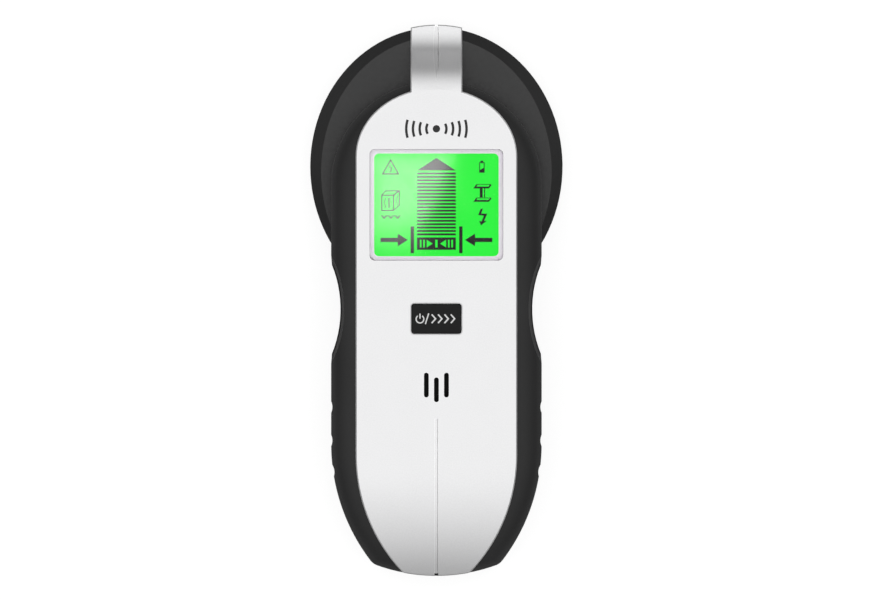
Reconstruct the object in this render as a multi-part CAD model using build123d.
from build123d import *
import math
import os

# Stud finder, in millimetres. It lies on its flat back: the back plane is z = 0, the display faces +Z,
# and the round sensor head points along +Y. The origin is the middle of the bottom of its box.

# ---------------------------------------------------------------- driving dimensions
LENGTH = 165.4
TOP_Y = LENGTH / 2
BOTTOM_Y = -LENGTH / 2

FACE_Z = 30.0  # the cover's flat face, the thickness of the whole tool
COVER_T = 1.8
SHELL_TOP = FACE_Z - COVER_T
SHELL_T = 2.2
CEILING_Z = SHELL_TOP - SHELL_T
GRIP_TOP = 29.5
SPLIT_Z = 11.0  # where the front and rear housings meet
FLOOR_T = 2.4
WALL_T = 2.0
BACK_EDGE_R = 1.0
SEAM_EDGE = 0.25

# round sensor head: a shallow elliptical disc with a chamfered rim
HEAD_Y = 40.1
HEAD_A = 37.9
HEAD_B = 41.8
DISC_Z = 14.5
RIM_Z = 12.0
RIM_INNER_Y = 38.5
RIM_INNER_A = 34.6
RIM_INNER_B = 40.4

# raised body that carries the cover
BODY_HALF = 31.5
ARCH_Y = 34.4
ARCH_B = 31.1
TAPER_Y = -43.0  # below this the sides curve in
SIDE_R = 58.5
BOTTOM_R = 52.0
CORNER_AT = (19.0, -79.0)  # where the side and bottom arcs meet
CORNER_R = 4.5
SHOULDER_R = 6.0
GRIP_T = 1.6
SHELL_IN = GRIP_T + 1.8

# the face runs flat to END_Y and then curves down to the bottom end
END_Y = -50.0
END_R = 52.0

# finger scallops at the waist, three shallow finger notches below them
SCALLOP_X = 64.7
SCALLOP_Y = -2.8
SCALLOP_R_BACK = 35.7
SCALLOP_R_FRONT = 37.3
NOTCH_YS = (-32.0, -42.0, -51.5)
NOTCH_R = 4.0
NOTCH_DEPTH = 0.4

# silver cover
COVER_HALF = 24.1
COVER_ARCH_Y = 42.8
COVER_ARCH_B = 20.5
COVER_TAPER_Y = -46.3
COVER_SIDE_R = 51.6
COVER_CORNER_AT = (9.3, -82.0)
COVER_CORNER_R = 2.0
COVER_EDGE = 0.35
CENTRE_LINE_W = 1.0
CENTRE_LINE_HIGH_Y = -35.5
CENTRE_LINE_D = 0.25
END_NOTCH_W = 1.2
END_NOTCH_L = 0.8
STRAP_HALF = 7.7
STRAP_T = 1.7
STRAP_LOW_Y = 56.0
RAMP_HIGH_Y = 67.5  # the strap leaves the face here
RAMP_HIGH_R = 10.0
RAMP_LOW_Y = 76.5  # and lands on the head here
RAMP_LOW_R = 8.0
STRAP_OVERHANG = 0.7
STRAP_Z = DISC_Z + 1.1
NOTCH_POINT_Y = 65.2
NOTCH_WIDE_Y = 72.0
NOTCH_WIDE = 0.75
NOTCH_TIP = 0.35
NOTCH_CUT_D = 0.3
GROOVE_W = 0.35  # the marking lines are deeper along their right edge
GROOVE_D = 1.0

# display
LCD_Y = 28.4
WINDOW_W = 39.9
WINDOW_H = 33.3
VIEW_W = 37.2
VIEW_H = 30.7
WINDOW_R = 1.6
VIEW_R = 1.5
LENS_T = 1.3
LENS_GAP = 0.08
LENS_EDGE = 0.1
GASKET_T = 0.6
LCD_W = 41.0
LCD_H = 34.5
LCD_T = 1.8
LCD_Z = CEILING_Z - LCD_T
LEDGE_W = 2.4  # the lower glass's contact ledge
FRAME_T = 1.5
GUIDE_HALF = 19.6
GUIDE_LOW_Y = 13.2
GUIDE_HIGH_Y = 43.9
ZEBRA_HALF = 18.5
ZEBRA_LOW_Y = 11.4
ZEBRA_HIGH_Y = 12.9
HOLE_EASE = 0.8  # the shell's holes are this much wider than the cover's view and key

# power button and its tact switch
BUTTON_Y = -5.6
BUTTON_W = 14.7
BUTTON_H = 8.7
BUTTON_GAP = 0.15
BUTTON_FRAME = 0.35  # a shallow frame round the key's hole
BUTTON_FRAME_D = 0.1
BUTTON_TRAVEL = 0.5
BUTTON_TOP = FACE_Z + 0.6
BUTTON_R = 0.7
BUTTON_HOLE_R = 0.85
BUTTON_EDGE = 0.3
BUTTON_WALL = 1.5
BUTTON_HOLLOW = 4.1
FLANGE_Z = 24.7
FLANGE_T = 1.1
FLANGE_W = 1.4
FLANGE_R = 1.2
STEM_R = 2.2
STEM_L = 4.4
SWITCH_W = 6.2
SWITCH_H = 1.5
PLUNGER_R = 1.6
PLUNGER_TOP = FLANGE_Z - 0.1

# sounder slots
SLOT_W = 1.45
SLOT_L = 7.4
SLOT_PITCH = 3.0
SLOT_Y = -25.4
SLOT_STEP = -1.4
SOUNDER_Y = SLOT_Y + SLOT_STEP / 2
SOUNDER_R = 7.0
SOUNDER_H = 3.2
SOUND_HOLE_R = 1.2
SOUNDER_EDGE = 0.4
MESH_W = 11.0
MESH_T = 0.3

# main board
BOARD_T = 1.6
BOARD_TOP = 22.2
BOARD_BOTTOM = BOARD_TOP - BOARD_T
BOARD_HALF = 22.3
BOARD_LOW_Y = -39.0
BOARD_HIGH_Y = 47.0
TONGUE_HALF = 16.5
TONGUE_HIGH_Y = 54.0
LED_Y = 44.5
LED_XS = (-12, -4, 4, 12)
LED_SIZE = (3.2, 1.0, 1.4)

# chips and other parts on the main board: width, height, place, legs per side
MICRO = (7.5, 12.0, -14.5, -20.0, 8)
AMPLIFIER = (4.0, 5.0, 14.5, -18.0, 4)
CHIP_T = 1.3
CHIP_LIFT = 0.15
LEG_L = 1.4
LEG_T = 0.35
CRYSTAL_SIZE = (3.6, 9.6, 2.6)
CRYSTAL_AT = (-14.5, -5.0)
CRYSTAL_R = 1.7
CAPACITOR_AT = (15.0, -27.5)
CAPACITOR_R = 2.4
CAPACITOR_H = 3.2
CAPACITOR_FOOT_W = 5.2
CAPACITOR_FOOT_T = 0.5
PASSIVE_SIZE = (0.9, 1.7, 0.6)
PASSIVE_PITCH = 3.0
PASSIVE_ROWS = [(13.0, -9.0, 3), (12.0, -3.0, 3), (-19.0, -30.0, 4)]

# 9 V block battery, terminals towards the head
BATTERY_W = 26.5
BATTERY_L = 46.4
BATTERY_D = 17.5
BATTERY_Z = 2.6
BATTERY_EDGE = 2.0
BATTERY_LOW_Y = -68.0
BATTERY_HIGH_Y = BATTERY_LOW_Y + BATTERY_L
TERMINAL_H = 2.1
TERMINAL_X = 6.35
TERMINAL_Z = BATTERY_Z + BATTERY_D / 2
STUD_R = 2.8
SOCKET_R = 4.1
SNAP_HALF = 12.5
SNAP_DEPTH = 12.0
SNAP_EDGE = 3.0
SNAP_LOW_Y = BATTERY_HIGH_Y + 0.3
SNAP_HIGH_Y = SNAP_LOW_Y + 4.2
LEAD_R = 0.75
LEAD_X = 5.0
LEAD_BEND_R = 4.0
LEAD_UP_Y = SNAP_HIGH_Y + 7.0

# battery door, hinged on two stub pins at its upper edge
DOOR_GAP = 0.3
BAY_HALF = 13.65
RECESS_HALF = 15.6
RECESS_LOW_Y = -70.8
RECESS_NECK_Y = -16.8
RECESS_HIGH_Y = -12.4
RECESS_D = 1.3
BAY_LOW_Y = -68.8
HINGE_Y = -13.85
HINGE_Z = 1.3
BARREL_R = 1.1
PIN_R = 0.7
PIN_HOLE_R = 0.78
DOOR_FACE = 0.1  # the door sits this far inside the back plane
DOOR_TOP = RECESS_D - 0.05
STIFFENER_TOP = 1.9
DOOR_LINE_SIZE = (12.0, 0.9, 0.5)
DOOR_LINE_COUNT = 4
DOOR_LINE_PITCH = 2.2
DOOR_LINE_Y = 4.5  # from the door's lower end
PAD_W = 18.0
PAD_L = 34.0
PAD_Y = -45.0
LUG_SIZE = (2.6, 4.4, 2.0)  # blocks that hold the hinge pins
RIB_T = 1.4
RIB_TOP = 15.0
RIB_HIGH_Y = -19.0
END_RIB_TOP = 12.0

# sensor board and coil in the head
SENSOR_Y = 42.0
SENSOR_R = 28.0
SENSOR_Z = 3.4
SENSOR_T = 1.2
SENSOR_TOP = SENSOR_Z + SENSOR_T
SENSOR_POSTS = [(18.5, 58.5), (-18.5, 58.5), (18.5, 25.5), (-18.5, 25.5)]
POST_R = 1.0
PLATE_T = 0.2
PLATES = [(-11.5, 7.0, 20.0), (0.0, 11.0, 34.0), (11.5, 7.0, 20.0)]  # place, width, height
SENSOR_TONGUE_HALF = 11.0
COIL_IN_R = 19.6
COIL_OUT_R = 22.2
FORMER_H = 3.2
FORMER_FLANGE = 0.7
COIL_H = FORMER_H - 2 * FORMER_FLANGE
HEADER_Y = 6.0
PIN_PITCH = 2.0
PIN_COUNT = 8
PIN_W = 0.6
STRIP_W = 2.2
STRIP_H = 2.4

CASE_SCREWS = [(29.5, 55.0), (-29.5, 55.0), (12.0, -74.0), (-12.0, -74.0)]
CASE_BOSS_R = 3.0
CASE_BOSS_Z = 7.0
CASE_SHANK_R = 1.1
CASE_HEAD_R = 2.3
CASE_HEAD_H = 1.8
CASE_HEAD_Z = 0.8
CASE_SCREW_L = 9.8
CASE_HOLE_L = 5.6
BOARD_SCREWS = [(13.0, 51.0), (-13.0, 51.0), (18.0, -35.5), (-18.0, -35.5)]
BOARD_BOSS_R = 2.5
BOARD_SHANK_R = 0.9
BOARD_HEAD_R = 1.9
BOARD_HEAD_H = 1.2
BOARD_SCREW_L = 4.8
BOARD_HOLE_L = 3.6
CROSS_W = 0.55
CROSS_D = 0.8
SCREW_EDGE = 0.3

ABOVE = FACE_Z + 2  # cutters run from below the back to here
BIG = 200.0  # wider and longer than the tool


# ---------------------------------------------------------------- helpers
def block(width, height, depth, x=0.0, y=0.0, z=0.0):
    """A box centred on x and y that stands on z."""
    return Pos(x, y, z) * Box(width, height, depth, align=(Align.CENTER, Align.CENTER, Align.MIN))


def rod(radius, depth, x=0.0, y=0.0, z=0.0):
    """An upright cylinder that stands on z."""
    return Pos(x, y, z) * Cylinder(radius, depth, align=(Align.CENTER, Align.CENTER, Align.MIN))


def rounded(width, height, depth, radius, x=0.0, y=0.0, z=0.0):
    """A plate with rounded corners, centred on x and y, that stands on z."""
    return Pos(x, y, z) * extrude(RectangleRounded(width, height, radius), amount=depth)


def span(low_x, high_x, low_y, high_y, low_z, high_z):
    """A box between two corners."""
    size = (high_x - low_x, high_y - low_y, high_z - low_z)
    return Pos(low_x, low_y, low_z) * Box(*size, align=Align.MIN)


def group(solids):
    """Several separate solids that share one node."""
    return Compound(children=[piece.solid() for piece in solids])


def prism(outline, low_z, high_z):
    return Pos(0, 0, low_z) * extrude(outline, amount=high_z - low_z)


def corners_at(outline, x, y, reach=2.0):
    """The outline's corners near (x, y) and its mirror point."""
    near = []
    for corner in outline.vertices():
        if abs(abs(corner.X) - x) < reach and abs(corner.Y - y) < reach:
            near.append(corner)
    return near


# ---------------------------------------------------------------- outlines and profiles
def rounded_handle(half, taper_y, side_r, arch_y, arch_b):
    """An arch on straight sides that curve in below taper_y."""
    arch = Pos(0, arch_y) * Ellipse(half, arch_b)
    sides = Pos(0, (arch_y + taper_y) / 2) * Rectangle(2 * half, arch_y - taper_y)
    low = Pos(0, taper_y - BIG / 2) * Rectangle(2 * half, BIG)
    for side in (1, -1):
        low &= Pos(side * (half - side_r), taper_y) * Circle(side_r)
    arch &= Pos(0, arch_y + BIG / 2) * Rectangle(2 * half, BIG)
    return (arch + sides + low).clean()


def body_outline(inset=0.0):
    """Outline of the raised body, moved inwards by inset."""
    half = BODY_HALF - inset
    outline = rounded_handle(half, TAPER_Y, SIDE_R - inset, ARCH_Y, ARCH_B - inset)
    centre_y = BOTTOM_Y + BOTTOM_R
    end = Pos(0, centre_y) * Circle(BOTTOM_R - inset)
    end += Pos(0, centre_y + BIG / 2) * Rectangle(BIG, BIG)
    outline &= end
    x, y = CORNER_AT
    return fillet(corners_at(outline, x - 0.75 * inset, y + 0.9 * inset), CORNER_R)


def cover_outline():
    """Outline of the silver cover without its strap."""
    outline = rounded_handle(COVER_HALF, COVER_TAPER_Y, COVER_SIDE_R, COVER_ARCH_Y, COVER_ARCH_B)
    outline &= body_outline()
    return fillet(corners_at(outline, *COVER_CORNER_AT), COVER_CORNER_R)


def head_outline(inset=0.0):
    return Pos(0, HEAD_Y) * Ellipse(HEAD_A - inset, HEAD_B - inset)


def under_face(top_z):
    """Everything under a face at top_z that runs flat to END_Y and then curves down."""
    radius = END_R - (FACE_Z - top_z)
    centre_z = FACE_Z - END_R
    low_y = BOTTOM_Y - 4
    sweep_angle = math.asin((END_Y - low_y) / radius)
    low_z = centre_z + radius * math.cos(sweep_angle)
    mid_y = END_Y - radius * math.sin(sweep_angle / 2)
    mid_z = centre_z + radius * math.cos(sweep_angle / 2)
    edges = [
        Line((TOP_Y + 4, -1), (TOP_Y + 4, top_z)),
        Line((TOP_Y + 4, top_z), (END_Y, top_z)),
        ThreePointArc((END_Y, top_z), (mid_y, mid_z), (low_y, low_z)),
        Line((low_y, low_z), (low_y, -1)),
        Line((low_y, -1), (TOP_Y + 4, -1)),
    ]
    profile = Plane.YZ * make_face(edges)
    return extrude(profile, amount=BIG / 2, both=True)


def scallop(side, inset=0.0):
    """Cutter for the finger scallop on one side: deeper towards the face."""
    cone = Cone(
        SCALLOP_R_BACK + inset,
        SCALLOP_R_FRONT + inset,
        ABOVE,
        align=(Align.CENTER, Align.CENTER, Align.MIN),
    )
    return Pos(side * SCALLOP_X, SCALLOP_Y, -1) * cone


def finger_notches():
    """Cutters for the three shallow notches down each side of the handle."""
    cutters = []
    for y in NOTCH_YS:
        drop = max(TAPER_Y - y, 0.0)
        edge_x = BODY_HALF - SIDE_R + math.sqrt(SIDE_R**2 - drop**2)
        for side in (1, -1):
            x = side * (edge_x + NOTCH_R - NOTCH_DEPTH)
            cutters.append(rod(NOTCH_R, ABOVE, x, y, -1))
    return cutters


def rim_edges(solid):
    """The outer edges of the upper faces, without the seams between them."""
    upper = [face for face in solid.faces() if face.normal_at(face.center()).Z > 0.5]
    edges = [edge for face in upper for edge in face.edges()]
    return [edge for edge in edges if sum(edge.is_same(other) for other in edges) == 1]


def body_block(inset, top_z, low_z):
    """The raised body with its round shoulder and its finger scallops."""
    body = prism(body_outline(inset), low_z, ABOVE) & under_face(top_z)
    body = fillet(rim_edges(body), SHOULDER_R - inset)
    for side in (1, -1):
        body -= scallop(side, inset)
    return body


def slot_positions():
    return [(-SLOT_PITCH, SLOT_Y), (0, SLOT_Y + SLOT_STEP), (SLOT_PITCH, SLOT_Y)]


def sounder_slots(width, length, low_z, high_z):
    slots = []
    for x, y in slot_positions():
        outline = Pos(x, y) * SlotOverall(length, width, rotation=90)
        slots.append(prism(outline, low_z, high_z))
    return slots


# ---------------------------------------------------------------- housings
def front_disc():
    """The head's flat disc with its chamfered rim, hollow below."""
    wall = prism(head_outline(), SPLIT_Z, RIM_Z)
    rim_low = Pos(0, 0, RIM_Z) * head_outline()
    rim_high = Pos(0, RIM_INNER_Y, DISC_Z) * Ellipse(RIM_INNER_A, RIM_INNER_B)
    rim = loft([rim_low.face(), rim_high.face()], ruled=True)
    hollow = prism(head_outline(WALL_T), SPLIT_Z, RIM_Z + 0.5)
    return wall + rim - hollow


def front_housing():
    """The black front shell: disc, raised body, display window, bosses."""
    seat = prism(cover_outline(), SPLIT_Z, ABOVE) & under_face(SHELL_TOP)
    shell = front_disc() + body_block(GRIP_T, SHELL_TOP, SPLIT_Z) + seat
    shell -= body_block(SHELL_IN, CEILING_Z, SPLIT_Z - 1)
    shell -= rounded(VIEW_W + HOLE_EASE, VIEW_H + HOLE_EASE, 6, VIEW_R, 0, LCD_Y, CEILING_Z - 1)
    shell -= rounded(BUTTON_W + HOLE_EASE, BUTTON_H + HOLE_EASE, 6, 1.0, 0, BUTTON_Y, CEILING_Z - 1)
    for slot in sounder_slots(SLOT_W + 0.5, SLOT_L + 0.5, CEILING_Z - 1, FACE_Z):
        shell -= slot
    inside = under_face(CEILING_Z + 0.5)
    for x, y in CASE_SCREWS:
        top = RIM_Z + 0.6 if y > 0 else CEILING_Z
        shell += rod(CASE_BOSS_R, top - CASE_BOSS_Z, x, y, CASE_BOSS_Z) & inside
        shell -= rod(CASE_SHANK_R, CASE_HOLE_L, x, y, CASE_BOSS_Z - 0.1)
    for x, y in BOARD_SCREWS:
        shell += rod(BOARD_BOSS_R, CEILING_Z + 0.3 - BOARD_TOP, x, y, BOARD_TOP)
        shell -= rod(BOARD_SHANK_R, BOARD_HOLE_L, x, y, BOARD_TOP - 0.1)
    return shell


def rear_housing():
    """The black rear tray: battery bay, door recess, hinge holes, bosses."""
    outline = head_outline() + body_outline()
    tray = prism(outline, 0, SPLIT_Z)
    inner = prism(head_outline(WALL_T) + body_outline(WALL_T), FLOOR_T, SPLIT_Z + 1)
    for side in (1, -1):
        tray -= scallop(side)
        inner -= scallop(side, WALL_T)
    tray = fillet(tray.edges().group_by(Axis.Z)[0], BACK_EDGE_R)
    tray = chamfer(tray.edges().group_by(Axis.Z)[-1], SEAM_EDGE)
    for notch in finger_notches():
        tray -= notch
    tray -= inner
    tray = add_battery_bay(tray)
    tray = add_sensor_posts(tray)
    for x, y in CASE_SCREWS:
        tray += rod(CASE_BOSS_R, CASE_BOSS_Z - FLOOR_T + 0.2, x, y, FLOOR_T - 0.2)
        tray -= rod(CASE_SHANK_R + 0.2, CASE_BOSS_Z + 1, x, y, -0.5)
        tray -= rod(CASE_HEAD_R + 0.3, CASE_HEAD_Z + CASE_HEAD_H + 0.5, x, y, -0.5)
    return tray


def add_battery_bay(tray):
    """Side ribs for the battery, the door's recess and the hinge sockets."""
    low_z = FLOOR_T - 0.2
    for side in (1, -1):
        x = side * (BAY_HALF + RIB_T / 2)
        tray += span(x - RIB_T / 2, x + RIB_T / 2, BAY_LOW_Y, RIB_HIGH_Y, low_z, RIB_TOP)
        tray += block(*LUG_SIZE, side * (BAY_HALF + LUG_SIZE[0] / 2), HINGE_Y, low_z)
    end_half = BAY_HALF + RIB_T
    tray += span(-end_half, end_half, BAY_LOW_Y - RIB_T, BAY_LOW_Y, low_z, END_RIB_TOP)
    tray -= span(-BAY_HALF, BAY_HALF, BAY_LOW_Y, RECESS_HIGH_Y, -1, 4.0)
    tray -= span(-RECESS_HALF, RECESS_HALF, RECESS_LOW_Y, RECESS_NECK_Y, -1, RECESS_D)
    tray -= Pos(0, HINGE_Y, HINGE_Z) * Rot(0, 90, 0) * Cylinder(PIN_HOLE_R, 2 * BAY_HALF + 3.2)
    return tray


def add_sensor_posts(tray):
    """Stepped posts that the sensor board drops over."""
    for x, y in SENSOR_POSTS:
        tray += rod(2.2 * POST_R, SENSOR_Z - FLOOR_T + 0.2, x, y, FLOOR_T - 0.2)
        tray += rod(POST_R, SENSOR_TOP + 0.5 - FLOOR_T, x, y, FLOOR_T)
    return tray


def side_grip(side):
    """Soft rubber over one side and shoulder of the raised body, open under the cover and strap."""
    grip = body_block(0, GRIP_TOP, SPLIT_Z)
    grip &= block(BIG, BIG, FACE_Z, side * BIG / 2)
    for notch in finger_notches():
        grip -= notch
    grip -= body_block(GRIP_T, SHELL_TOP, SPLIT_Z - 1)
    grip -= front_disc()
    grip -= prism(head_outline(WALL_T), SPLIT_Z - 1, RIM_Z + 0.6)
    grip -= prism(cover_outline(), SPLIT_Z - 1, ABOVE)
    grip -= span(-STRAP_HALF, STRAP_HALF, STRAP_LOW_Y, TOP_Y, DISC_Z, ABOVE)
    return grip


# ---------------------------------------------------------------- silver cover
def strap_side(drop):
    """Side profile of the strap: face height, a smooth ramp, then the low tip."""
    tip_y = TOP_Y + 2
    low_z = SPLIT_Z - 1
    path = FilletPolyline(
        (STRAP_LOW_Y, FACE_Z - drop),
        (RAMP_HIGH_Y - 0.45 * drop, FACE_Z - drop),
        (RAMP_LOW_Y - 0.45 * drop, STRAP_Z - drop),
        (tip_y, STRAP_Z - drop),
        radius=[RAMP_HIGH_R - drop, RAMP_LOW_R + drop],
    )
    edges = list(path.edges())
    edges.append(Line((tip_y, STRAP_Z - drop), (tip_y, low_z)))
    edges.append(Line((tip_y, low_z), (STRAP_LOW_Y, low_z)))
    edges.append(Line((STRAP_LOW_Y, low_z), (STRAP_LOW_Y, FACE_Z - drop)))
    return Plane.YZ * make_face(edges)


def strap_block(half, drop, overhang):
    """The strap's block under its side profile, out to a line just past the disc."""
    body = extrude(strap_side(drop), amount=half, both=True)
    return body & prism(head_outline(-overhang), SPLIT_Z - 2, ABOVE)


def outer_strap():
    """The strap's outside, with a small bevel along its sides and its tip."""
    strap = strap_block(STRAP_HALF, 0, STRAP_OVERHANG)
    rim = [edge for edge in rim_edges(strap) if edge.center().Y > STRAP_LOW_Y + 0.1]
    return chamfer(rim, COVER_EDGE)


def marking_notch():
    """Plan of the groove that points at the middle of a stud: fine at the tip, wider, then pointed."""
    point = (0.0, NOTCH_POINT_Y)
    tips = [(-NOTCH_TIP, TOP_Y + 1), (NOTCH_TIP, TOP_Y + 1)]
    edges = [
        Line(*tips),
        ThreePointArc(tips[1], (NOTCH_WIDE, NOTCH_WIDE_Y), point),
        ThreePointArc(point, (-NOTCH_WIDE, NOTCH_WIDE_Y), tips[0]),
    ]
    return make_face(edges)


def button_hole():
    """Cutter for the key's hole, flared at the face."""
    width = BUTTON_W + 2 * BUTTON_GAP
    height = BUTTON_H + 2 * BUTTON_GAP
    hole = rounded(width, height, 6, BUTTON_HOLE_R, 0, BUTTON_Y, SHELL_TOP - 1)
    wide = 2 * BUTTON_FRAME
    low = RectangleRounded(width, height, BUTTON_HOLE_R)
    high = RectangleRounded(width + wide, height + wide, BUTTON_HOLE_R + BUTTON_FRAME)
    low = Pos(0, BUTTON_Y, FACE_Z - BUTTON_FRAME_D) * low
    high = Pos(0, BUTTON_Y, FACE_Z) * high
    return hole + loft([low.face(), high.face()])


def cut_marking_lines(cover):
    """The notch down the strap and the line down the handle: shallow, with a deep right edge."""
    notch = prism(marking_notch(), 0, ABOVE)
    half = CENTRE_LINE_W / 2
    line = span(-half, half, BOTTOM_Y - 1, CENTRE_LINE_HIGH_Y, 0, ABOVE)
    notch_edge = notch & span(NOTCH_WIDE - GROOVE_W, NOTCH_WIDE, NOTCH_POINT_Y, TOP_Y + 2, 0, ABOVE)
    line_edge = line & span(half - GROOVE_W, half, BOTTOM_Y - 1, CENTRE_LINE_HIGH_Y, 0, ABOVE)
    cover -= notch - strap_block(STRAP_HALF + 1, NOTCH_CUT_D, STRAP_OVERHANG - NOTCH_CUT_D)
    cover -= notch_edge - strap_block(STRAP_HALF + 1, GROOVE_D, STRAP_OVERHANG - GROOVE_D)
    cover -= line - under_face(FACE_Z - CENTRE_LINE_D)
    cover -= line_edge - under_face(FACE_Z - GROOVE_D)
    return cover


def front_cover():
    """Silver plate with the strap over the head, the window, the button hole and the slots."""
    plate = prism(cover_outline(), 0, ABOVE) & under_face(FACE_Z)
    plate = chamfer(rim_edges(plate), COVER_EDGE)
    plate -= under_face(SHELL_TOP)
    strap = outer_strap()
    strap -= strap_block(STRAP_HALF - STRAP_T, STRAP_T, -WALL_T)
    strap -= span(-STRAP_HALF, STRAP_HALF, 50, ARCH_Y + ARCH_B - GRIP_T, 0, SHELL_TOP)
    strap -= front_disc()
    strap -= prism(head_outline(), 0, RIM_Z)
    strap -= prism(head_outline(WALL_T), 0, RIM_Z + 0.5)
    strap -= body_block(GRIP_T, SHELL_TOP, SPLIT_Z - 1)
    strap -= span(-STRAP_HALF, STRAP_HALF, 50, 60, 0, ABOVE)
    cover = plate + strap
    cover = cut_marking_lines(cover)
    cover -= span(-END_NOTCH_W / 2, END_NOTCH_W / 2, BOTTOM_Y - 1, BOTTOM_Y + END_NOTCH_L, 0, FACE_Z)
    cover -= rounded(WINDOW_W, WINDOW_H, 6, WINDOW_R, 0, LCD_Y, SHELL_TOP - 1)
    cover -= button_hole()
    for slot in sounder_slots(SLOT_W, SLOT_L, SHELL_TOP - 1, ABOVE):
        cover -= slot
    return cover


# ---------------------------------------------------------------- display
def display_lens():
    width = WINDOW_W - 2 * LENS_GAP
    height = WINDOW_H - 2 * LENS_GAP
    lens = rounded(width, height, LENS_T, WINDOW_R - LENS_GAP, 0, LCD_Y, SHELL_TOP + GASKET_T)
    return chamfer(lens.edges().group_by(Axis.Z)[-1], LENS_EDGE)


def lens_gasket():
    """Pale adhesive frame that shows through the lens as a border."""
    width = WINDOW_W - 2 * LENS_GAP
    height = WINDOW_H - 2 * LENS_GAP
    frame = rounded(width, height, GASKET_T, WINDOW_R - LENS_GAP, 0, LCD_Y, SHELL_TOP)
    return frame - rounded(VIEW_W, VIEW_H, 3, VIEW_R, 0, LCD_Y, SHELL_TOP - 1)


def lcd_panel():
    """Two glass sheets: the upper one stops short of the contact ledge."""
    lower = block(LCD_W, LCD_H, LCD_T / 2, 0, LCD_Y, LCD_Z)
    upper = block(LCD_W, LCD_H - LEDGE_W, LCD_T / 2, 0, LCD_Y + LEDGE_W / 4, LCD_Z + LCD_T / 2)
    return lower + upper


def lcd_frame():
    """White frame that holds the panel and the light guide on the board."""
    width = LCD_W + 2 * FRAME_T
    height = LCD_H + 2 * FRAME_T
    frame = rounded(width, height, CEILING_Z - BOARD_TOP, 1.0, 0, LCD_Y, BOARD_TOP)
    return frame - block(LCD_W + 0.1, LCD_H + 0.1, 6, 0, LCD_Y, BOARD_TOP - 1)


def light_guide():
    """Clear sheet behind the panel, lit from its upper edge."""
    return span(-GUIDE_HALF, GUIDE_HALF, GUIDE_LOW_Y, GUIDE_HIGH_Y, BOARD_TOP + 0.2, LCD_Z - 0.1)


def backlight_leds():
    return group([block(*LED_SIZE, x, LED_Y, BOARD_TOP) for x in LED_XS])


def zebra_connector():
    """Rubber strip that joins the panel's contact ledge to the board."""
    return span(-ZEBRA_HALF, ZEBRA_HALF, ZEBRA_LOW_Y, ZEBRA_HIGH_Y, BOARD_TOP, LCD_Z)


# ---------------------------------------------------------------- button, switch, sounder
def power_button():
    """Key cap, hollow below, with a flange that keeps it in and a stem over the switch."""
    cap = rounded(BUTTON_W, BUTTON_H, BUTTON_TOP - FLANGE_Z, BUTTON_R, 0, BUTTON_Y, FLANGE_Z)
    cap = fillet(cap.edges().group_by(Axis.Z)[-1], BUTTON_EDGE)
    width = BUTTON_W + 2 * FLANGE_W
    height = BUTTON_H + 2 * FLANGE_W
    flange = rounded(width, height, FLANGE_T, FLANGE_R, 0, BUTTON_Y, FLANGE_Z)
    width = BUTTON_W - 2 * BUTTON_WALL
    height = BUTTON_H - 2 * BUTTON_WALL
    hollow = rounded(width, height, BUTTON_HOLLOW + 0.1, 0.5, 0, BUTTON_Y, FLANGE_Z - 0.1)
    stem = rod(STEM_R, STEM_L, 0, BUTTON_Y, FLANGE_Z)
    return cap + flange - hollow + stem


def tact_switch():
    case = block(SWITCH_W, SWITCH_W, SWITCH_H, 0, BUTTON_Y, BOARD_TOP)
    return case - rod(PLUNGER_R + 0.15, 4, 0, BUTTON_Y, BOARD_TOP + 0.1)


def tact_plunger():
    low_z = BOARD_TOP + 0.1 + BUTTON_TRAVEL + 0.1
    plunger = rod(PLUNGER_R, PLUNGER_TOP - low_z, 0, BUTTON_Y, low_z)
    return chamfer(plunger.edges().group_by(Axis.Z)[-1], 0.2)


def piezo_sounder():
    """Round sounder with a sound hole, on the board under the slots."""
    case = rod(SOUNDER_R, SOUNDER_H, 0, SOUNDER_Y, BOARD_TOP)
    case = fillet(case.edges().group_by(Axis.Z)[-1], SOUNDER_EDGE)
    return case - rod(SOUND_HOLE_R, SOUNDER_H, 0, SOUNDER_Y, BOARD_TOP + SOUNDER_H / 2)


def dust_mesh():
    """Thin black fabric under the slots."""
    return rounded(MESH_W, MESH_W, MESH_T, 1.0, 0, SOUNDER_Y, CEILING_Z - MESH_T)


# ---------------------------------------------------------------- main board
def main_board():
    board = span(-BOARD_HALF, BOARD_HALF, BOARD_LOW_Y, BOARD_HIGH_Y, BOARD_BOTTOM, BOARD_TOP)
    board += span(-TONGUE_HALF, TONGUE_HALF, BOARD_HIGH_Y - 1, TONGUE_HIGH_Y, BOARD_BOTTOM, BOARD_TOP)
    for x, y in BOARD_SCREWS:
        board -= rod(BOARD_SHANK_R + 0.2, 4, x, y, BOARD_BOTTOM - 1)
    return board


def chip(width, height, x, y, legs):
    """A flat package with a row of legs down each side."""
    body = block(width, height, CHIP_T, x, y, BOARD_TOP + CHIP_LIFT)
    pitch = height / legs
    for side in (1, -1):
        for number in range(legs):
            leg_x = x + side * (width / 2 + 0.5)
            leg_y = y + (number - (legs - 1) / 2) * pitch
            body += block(LEG_L, 0.4 * pitch, LEG_T, leg_x, leg_y, BOARD_TOP)
    return body


def microcontroller():
    return chip(*MICRO)


def amplifier_chip():
    return chip(*AMPLIFIER)


def crystal_can():
    can = rounded(*CRYSTAL_SIZE, CRYSTAL_R, *CRYSTAL_AT, BOARD_TOP)
    return fillet(can.edges().group_by(Axis.Z)[-1], 0.4)


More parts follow.
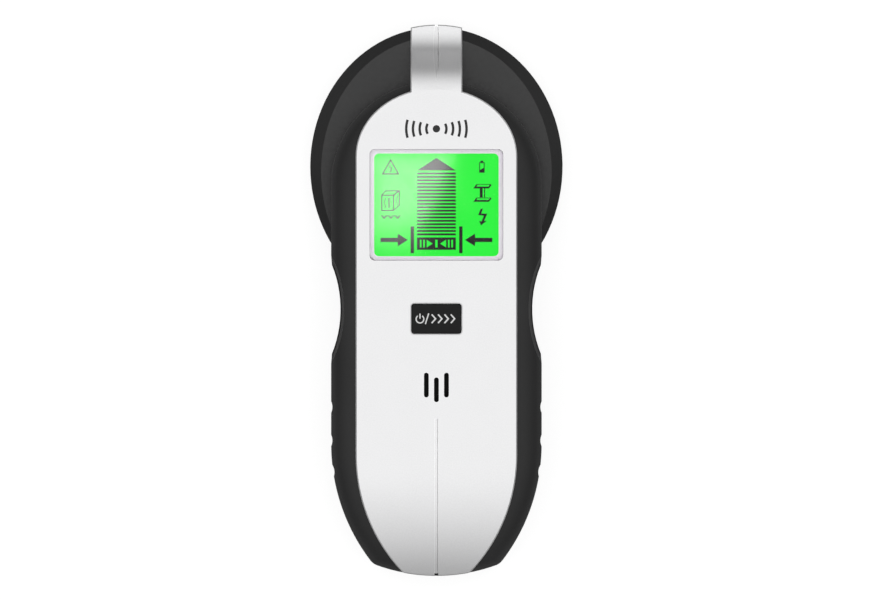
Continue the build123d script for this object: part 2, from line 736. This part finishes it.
def smoothing_capacitor():
    """Round aluminium capacitor on its square foot."""
    foot = rounded(CAPACITOR_FOOT_W, CAPACITOR_FOOT_W, CAPACITOR_FOOT_T, 0.6, *CAPACITOR_AT, BOARD_TOP)
    return foot + rod(CAPACITOR_R, CAPACITOR_H, *CAPACITOR_AT, BOARD_TOP)


def chip_passives():
    places = []
    for first_x, y, count in PASSIVE_ROWS:
        places += [(first_x + PASSIVE_PITCH * i, y) for i in range(count)]
    return group([block(*PASSIVE_SIZE, x, y, BOARD_TOP) for x, y in places])


# ---------------------------------------------------------------- sensor board in the head
def pin_places():
    return [((i - (PIN_COUNT - 1) / 2) * PIN_PITCH, HEADER_Y) for i in range(PIN_COUNT)]


def sensor_board():
    """Round board with a tongue for the pin header."""
    board = rod(SENSOR_R, SENSOR_T, 0, SENSOR_Y, SENSOR_Z)
    half = SENSOR_TONGUE_HALF
    board += span(-half, half, HEADER_Y - 4, SENSOR_Y, SENSOR_Z, SENSOR_TOP)
    for x, y in SENSOR_POSTS:
        board -= rod(POST_R + 0.05, 3, x, y, SENSOR_Z - 1)
    return board


def sensor_plates():
    """Three copper plates that feel the change in density behind the wall."""
    return group([block(width, height, PLATE_T, x, SENSOR_Y, SENSOR_TOP) for x, width, height in PLATES])


def coil_former():
    """Plastic bobbin: a ring with a flange at its top and bottom."""
    ring = rod(COIL_OUT_R, FORMER_H, 0, SENSOR_Y, SENSOR_TOP)
    ring -= rod(COIL_IN_R - 0.8, 5, 0, SENSOR_Y, SENSOR_TOP - 1)
    groove = rod(COIL_OUT_R + 1, COIL_H, 0, SENSOR_Y, SENSOR_TOP + FORMER_FLANGE)
    groove -= rod(COIL_IN_R, 5, 0, SENSOR_Y, SENSOR_TOP - 1)
    return ring - groove


def metal_coil():
    """Copper winding in the former's groove, the metal and live-wire sensor."""
    winding = rod(COIL_OUT_R - 0.4, COIL_H, 0, SENSOR_Y, SENSOR_TOP + FORMER_FLANGE)
    return winding - rod(COIL_IN_R, 5, 0, SENSOR_Y, SENSOR_TOP - 1)


def header_strip():
    """Plastic strip that spaces the pins between the two boards."""
    strip = block(PIN_COUNT * PIN_PITCH, STRIP_W, STRIP_H, 0, HEADER_Y, SENSOR_TOP)
    for x, y in pin_places():
        strip -= block(PIN_W, PIN_W, 6, x, y, SENSOR_TOP - 1)
    return strip


def header_pins():
    height = BOARD_BOTTOM - SENSOR_TOP
    return group([block(PIN_W, PIN_W, height, x, y, SENSOR_TOP) for x, y in pin_places()])


# ---------------------------------------------------------------- battery and its leads
def along_y(shape, x, y, z):
    """Turns an upright shape so that its axis runs along +Y from y."""
    return Pos(x, y, z) * Rot(-90, 0, 0) * shape


def battery():
    half = BATTERY_W / 2
    cell = span(-half, half, BATTERY_LOW_Y, BATTERY_HIGH_Y, BATTERY_Z, BATTERY_Z + BATTERY_D)
    return fillet(cell.edges().filter_by(Axis.Y), BATTERY_EDGE)


def battery_terminals():
    stud = rod(STUD_R, TERMINAL_H)
    socket = rod(SOCKET_R, TERMINAL_H) - rod(STUD_R + 0.1, TERMINAL_H, z=0.4)
    places = ((stud, TERMINAL_X), (socket, -TERMINAL_X))
    return group([along_y(shape, x, BATTERY_HIGH_Y, TERMINAL_Z) for shape, x in places])


def battery_snap():
    """Snap connector that presses on to the battery's terminals."""
    low_z = TERMINAL_Z - SNAP_DEPTH / 2
    snap = span(-SNAP_HALF, SNAP_HALF, SNAP_LOW_Y, SNAP_HIGH_Y, low_z, low_z + SNAP_DEPTH)
    snap = fillet(snap.edges().filter_by(Axis.Y), SNAP_EDGE)
    for x, radius in ((TERMINAL_X, STUD_R + 0.15), (-TERMINAL_X, SOCKET_R + 0.15)):
        snap -= along_y(rod(radius, TERMINAL_H), x, BATTERY_HIGH_Y, TERMINAL_Z)
    return snap


def battery_lead(side):
    """One insulated lead from the snap to the underside of the main board."""
    x = side * LEAD_X
    route = FilletPolyline(
        (x, SNAP_HIGH_Y, TERMINAL_Z),
        (x, LEAD_UP_Y, TERMINAL_Z),
        (x, LEAD_UP_Y, BOARD_BOTTOM),
        radius=LEAD_BEND_R,
    )
    section = Plane((x, SNAP_HIGH_Y, TERMINAL_Z), z_dir=(0, 1, 0)) * Circle(LEAD_R)
    return sweep(section, path=route)


def battery_door():
    """Door plate, its inner stiffener, the hinge barrel and two stub pins."""
    gap = DOOR_GAP
    low_y = RECESS_LOW_Y + gap
    neck_y = RECESS_NECK_Y - gap
    wide = RECESS_HALF - gap
    narrow = BAY_HALF - gap
    door = span(-wide, wide, low_y, neck_y, DOOR_FACE, DOOR_TOP)
    door += span(-narrow, narrow, BAY_LOW_Y + gap, HINGE_Y, DOOR_FACE, DOOR_TOP)
    door += span(-narrow, narrow, BAY_LOW_Y + gap, neck_y, DOOR_FACE, STIFFENER_TOP)
    barrel = Cylinder(BARREL_R, 2 * narrow)
    pins = Cylinder(PIN_R, 2 * (BAY_HALF + RIB_T))
    door += Pos(0, HINGE_Y, HINGE_Z) * Rot(0, 90, 0) * (barrel + pins)
    for number in range(DOOR_LINE_COUNT):
        line_y = low_y + DOOR_LINE_Y + DOOR_LINE_PITCH * number
        door -= block(*DOOR_LINE_SIZE, 0, line_y, DOOR_FACE - 0.1)
    return door


def door_pad():
    """Foam pad on the door that keeps the battery from rattling."""
    return rounded(PAD_W, PAD_L, BATTERY_Z - STIFFENER_TOP - 0.2, 1.5, 0, PAD_Y, STIFFENER_TOP)


# ---------------------------------------------------------------- screws
def screw(shank_r, length, head_r, head_h):
    """A pan-head screw that points up, with its head's face at z = 0 and a cross recess."""
    body = rod(head_r, head_h) + rod(shank_r, length, z=head_h)
    cross_l = 1.3 * head_r
    cross = block(CROSS_W, cross_l, CROSS_D + 0.1, z=-0.1) + block(cross_l, CROSS_W, CROSS_D + 0.1, z=-0.1)
    return fillet(body.edges().group_by(Axis.Z)[0], SCREW_EDGE) - cross


def case_screws():
    one = screw(CASE_SHANK_R, CASE_SCREW_L, CASE_HEAD_R, CASE_HEAD_H)
    return group([Pos(x, y, CASE_HEAD_Z) * one for x, y in CASE_SCREWS])


def board_screws():
    one = screw(BOARD_SHANK_R, BOARD_SCREW_L, BOARD_HEAD_R, BOARD_HEAD_H)
    return group([Pos(x, y, BOARD_BOTTOM - BOARD_HEAD_H) * one for x, y in BOARD_SCREWS])


NODES = {
    "front_cover": front_cover,
    "front_housing": front_housing,
    "rear_housing": rear_housing,
    "left_grip": lambda: side_grip(-1),
    "right_grip": lambda: side_grip(1),
    "display_lens": display_lens,
    "lens_gasket": lens_gasket,
    "lcd_panel": lcd_panel,
    "lcd_frame": lcd_frame,
    "light_guide": light_guide,
    "backlight_leds": backlight_leds,
    "zebra_connector": zebra_connector,
    "power_button": power_button,
    "tact_switch": tact_switch,
    "tact_plunger": tact_plunger,
    "piezo_sounder": piezo_sounder,
    "dust_mesh": dust_mesh,
    "main_board": main_board,
    "microcontroller": microcontroller,
    "amplifier_chip": amplifier_chip,
    "crystal_can": crystal_can,
    "smoothing_capacitor": smoothing_capacitor,
    "chip_passives": chip_passives,
    "sensor_board": sensor_board,
    "sensor_plates": sensor_plates,
    "coil_former": coil_former,
    "metal_coil": metal_coil,
    "header_strip": header_strip,
    "header_pins": header_pins,
    "battery": battery,
    "battery_terminals": battery_terminals,
    "battery_snap": battery_snap,
    "battery_lead_red": lambda: battery_lead(1),
    "battery_lead_black": lambda: battery_lead(-1),
    "battery_door": battery_door,
    "door_pad": door_pad,
    "case_screws": case_screws,
    "board_screws": board_screws,
}

os.makedirs("parts", exist_ok=True)
for name, make in NODES.items():
    export_step(make(), f"parts/{name}.step")
